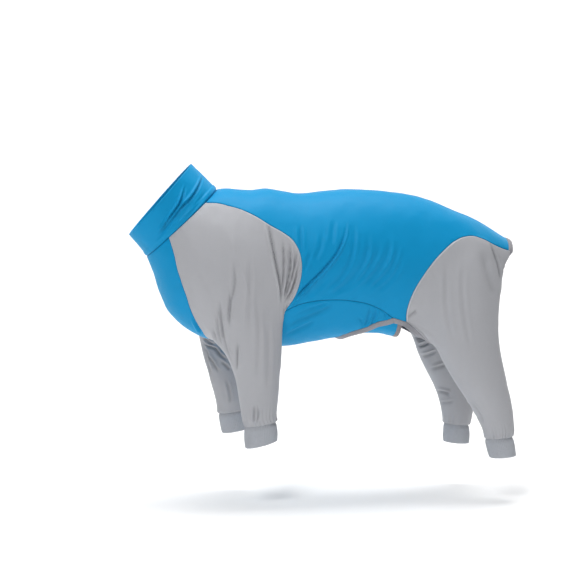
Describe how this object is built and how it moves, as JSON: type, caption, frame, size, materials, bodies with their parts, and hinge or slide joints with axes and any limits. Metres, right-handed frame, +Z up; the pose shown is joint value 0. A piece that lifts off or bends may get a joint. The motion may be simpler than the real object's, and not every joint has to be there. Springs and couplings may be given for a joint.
{
  "type": "dog jumpsuit",
  "caption": "Long-bodied dog jumpsuit in stretch knit with a high collar, raglan sleeves, long hind legs, knitted cuffs and a bound opening under the belly and rear.",
  "frame": {"origin": "the withers: the point on the wearer's back, in the middle plane, that the back of the suit rests on", "axes": "+X from the collar to the rump along the back, +Y to the wearer's right side, +Z up"},
  "size_m": [0.6926, 0.2316, 0.5243],
  "materials": {
    "blue_knit": "smooth stretch knit with a slight satin sheen",
    "grey_knit": "smooth stretch knit with a slight satin sheen",
    "cuff_knit": "fine ribbed knit",
    "binding_knit": "folded knit edge binding",
    "flap_edge_knit": "folded knit edge binding"
  },
  "bodies": {
    "root": {"back_panel": "blue_knit", "underside_panel": "blue_knit", "collar": "blue_knit", "belly_flap": "blue_knit", "front_sleeve_left": "grey_knit", "front_sleeve_right": "grey_knit", "hind_leg_left": "grey_knit", "hind_leg_right": "grey_knit", "front_cuff_left": "cuff_knit", "front_cuff_right": "cuff_knit", "hind_cuff_left": "cuff_knit", "hind_cuff_right": "cuff_knit", "opening_binding": "binding_knit", "flap_binding": "flap_edge_knit"}
  },
  "joints": []
}
